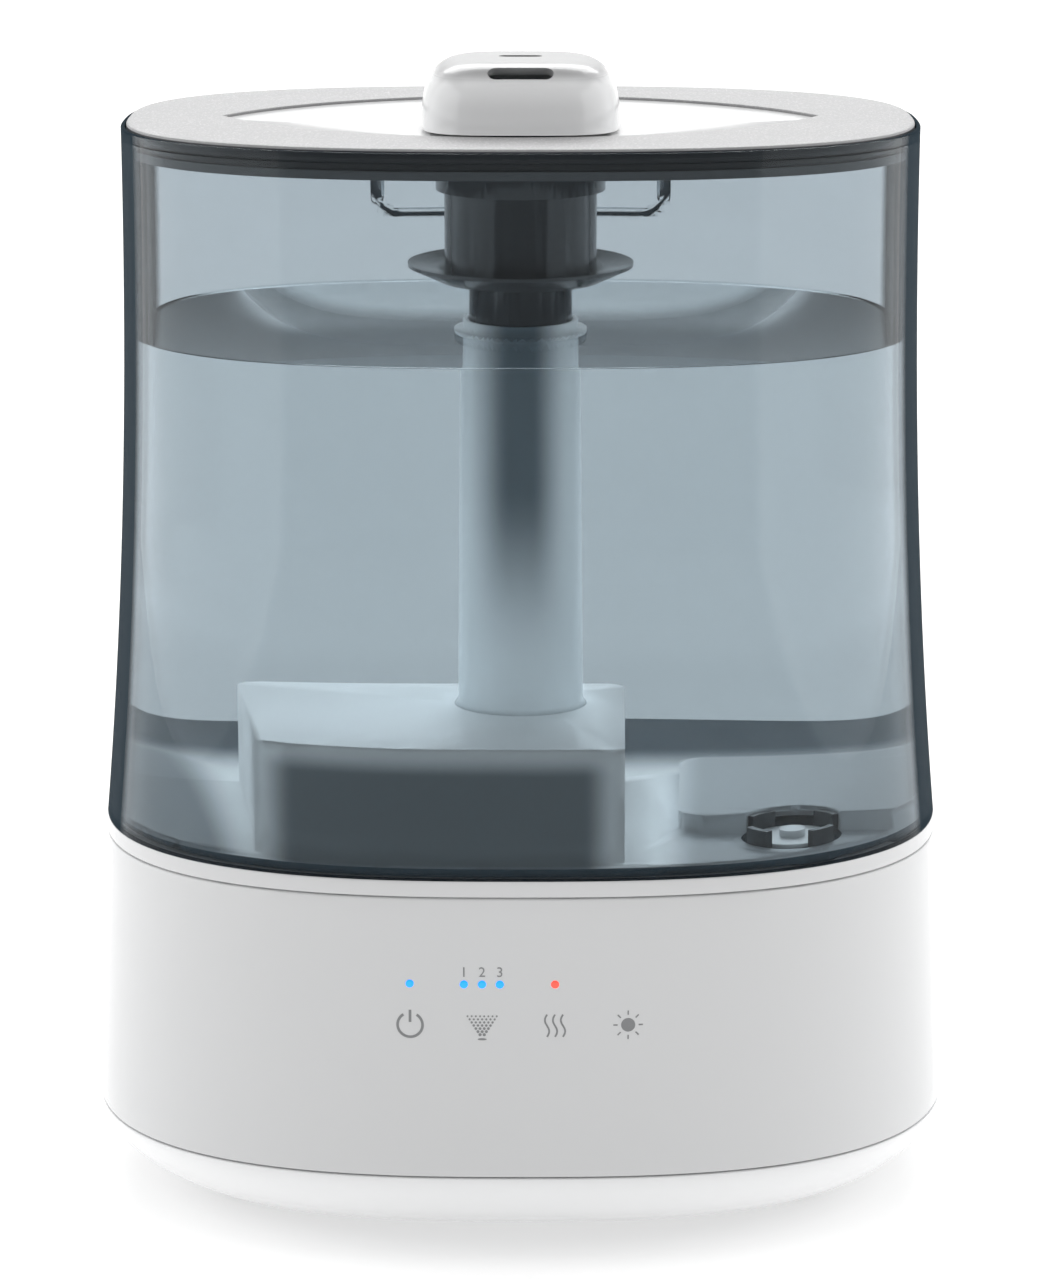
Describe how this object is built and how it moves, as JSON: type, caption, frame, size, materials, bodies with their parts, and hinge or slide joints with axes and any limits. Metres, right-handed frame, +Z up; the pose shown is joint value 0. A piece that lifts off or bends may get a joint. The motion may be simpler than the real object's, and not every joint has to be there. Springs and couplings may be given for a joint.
{
  "type": "cool mist humidifier",
  "caption": "Top-fill ultrasonic humidifier: oval white base with a touch panel, tinted clear tank that lifts off, chimney, and a lift-off lid with a turning mist nozzle.",
  "frame": {"origin": "on the floor under the middle of the base's outline", "axes": "+Z up, the control panel faces -Y, +X to the right of a person facing the panel"},
  "size_m": [0.25, 0.181, 0.329],
  "materials": {
    "white_gloss": "glossy",
    "white_satin": "satin",
    "smoke_clear": "glossy",
    "smoke_floor": "satin",
    "lid_grey": "satin",
    "duct_grey": "satin",
    "silicone": "matte",
    "rubber_dark": "matte",
    "steel": "brushed",
    "ceramic": "satin",
    "circuit": "satin",
    "dark_plastic": "satin",
    "foam": "open cell foam",
    "light_blue": "glossy",
    "light_red": "glossy",
    "lens_clear": "glossy",
    "magnet": "satin"
  },
  "bodies": {
    "base": {"base_pan": "white_gloss", "base_shell": "white_gloss", "feet": "rubber_dark", "case_screws": "steel", "cord_grommet": "rubber_dark", "basin": "white_gloss", "transducer_disc": "ceramic", "transducer_seal": "silicone", "transducer_holder": "dark_plastic", "holder_screws": "steel", "heater_plate": "steel", "heater_element": "ceramic", "level_sensor": "circuit", "float_cap": "white_satin", "night_light_lens": "lens_clear", "fan_housing": "dark_plastic", "fan_motor": "steel", "air_duct": "white_satin", "air_filter": "foam", "power_board": "circuit", "board_parts": "dark_plastic", "control_board": "circuit", "lights_blue": "light_blue", "light_red": "light_red", "touch_pads": "silicone"},
    "float": {"float": "white_satin", "float_magnet": "magnet"},
    "rotor": {"fan_rotor": "dark_plastic"},
    "tank": {"tank_shell": "smoke_clear", "tank_floor": "smoke_floor", "valve_cage": "dark_plastic", "chimney": "smoke_floor", "chimney_seal": "silicone"},
    "valve": {"valve_plunger": "white_satin", "valve_seal": "rubber_dark", "valve_spring": "steel"},
    "lid": {"lid_panel": "lid_grey", "lid_gasket": "silicone", "lid_inlay": "white_gloss", "mist_collar": "duct_grey", "mist_duct": "duct_grey"},
    "nozzle": {"nozzle_cap": "white_gloss", "nozzle_stem": "white_satin"}
  },
  "joints": [
    {"name": "tank_lift", "type": "slide", "parent": "base", "child": "tank", "axis": [0, 0, 1], "range_m": [0, 0.15]},
    {"name": "lid_lift", "type": "slide", "parent": "tank", "child": "lid", "axis": [0, 0, 1], "range_m": [0, 0.1]},
    {"name": "nozzle_spin", "type": "hinge", "parent": "lid", "child": "nozzle", "pos_m": [0, -0.016, 0.311], "axis": [0, 0, 1], "continuous": true},
    {"name": "valve_open", "type": "slide", "parent": "tank", "child": "valve", "axis": [0, 0, 1], "range_m": [0, 0.003], "stiffness_N_per_m": 30, "deforming": ["valve_spring"]},
    {"name": "float_rise", "type": "slide", "parent": "base", "child": "float", "axis": [0, 0, 1], "range_m": [0, 0.007]},
    {"name": "fan_spin", "type": "hinge", "parent": "base", "child": "rotor", "pos_m": [-0.046, 0.034, 0.035], "axis": [0, 0, 1], "continuous": true}
  ]
}
